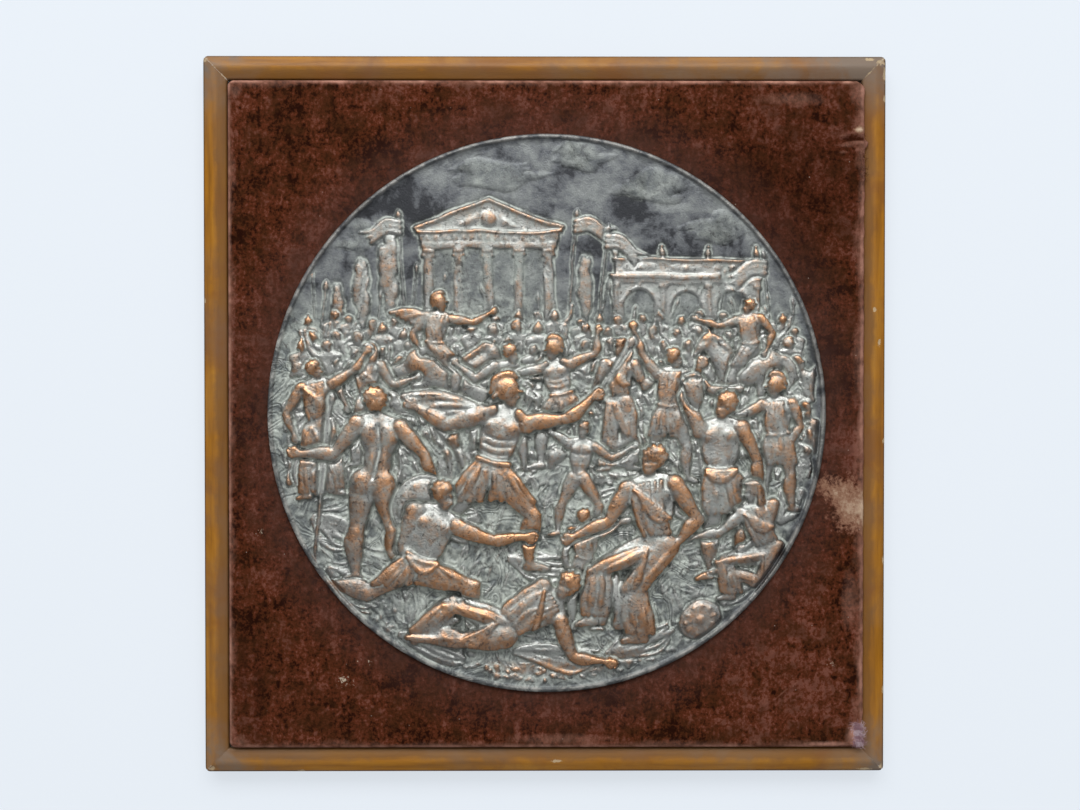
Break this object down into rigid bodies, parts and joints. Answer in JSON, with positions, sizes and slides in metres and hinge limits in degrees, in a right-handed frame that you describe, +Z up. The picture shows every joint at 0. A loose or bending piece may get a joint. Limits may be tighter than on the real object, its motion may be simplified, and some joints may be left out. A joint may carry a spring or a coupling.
{
  "type": "relief plaque",
  "caption": "Round silvered metal relief of a crowded classical scene, set on a worn velvet panel inside a mitred wooden frame, made to hang flat on a wall.",
  "frame": {"origin": "centre of the plaque's flat back, where it lies against the wall", "axes": "+X to the right as seen from the front, +Y from the picture back into the wall, +Z up"},
  "size_m": [0.341, 0.0218, 0.3584],
  "materials": {
    "varnished_wood": "amber varnish, worn at the corners",
    "bare_wood": "bare, darkened with age",
    "velvet": "worn wine-brown velvet pile",
    "silvered_copper": "tarnished silver over copper, copper showing on the high points"
  },
  "bodies": {
    "root": {"rail_top": "varnished_wood", "rail_bottom": "varnished_wood", "rail_left": "varnished_wood", "rail_right": "varnished_wood", "backing_board": "bare_wood", "velvet_cover": "velvet", "relief_disc": "silvered_copper"}
  },
  "joints": []
}
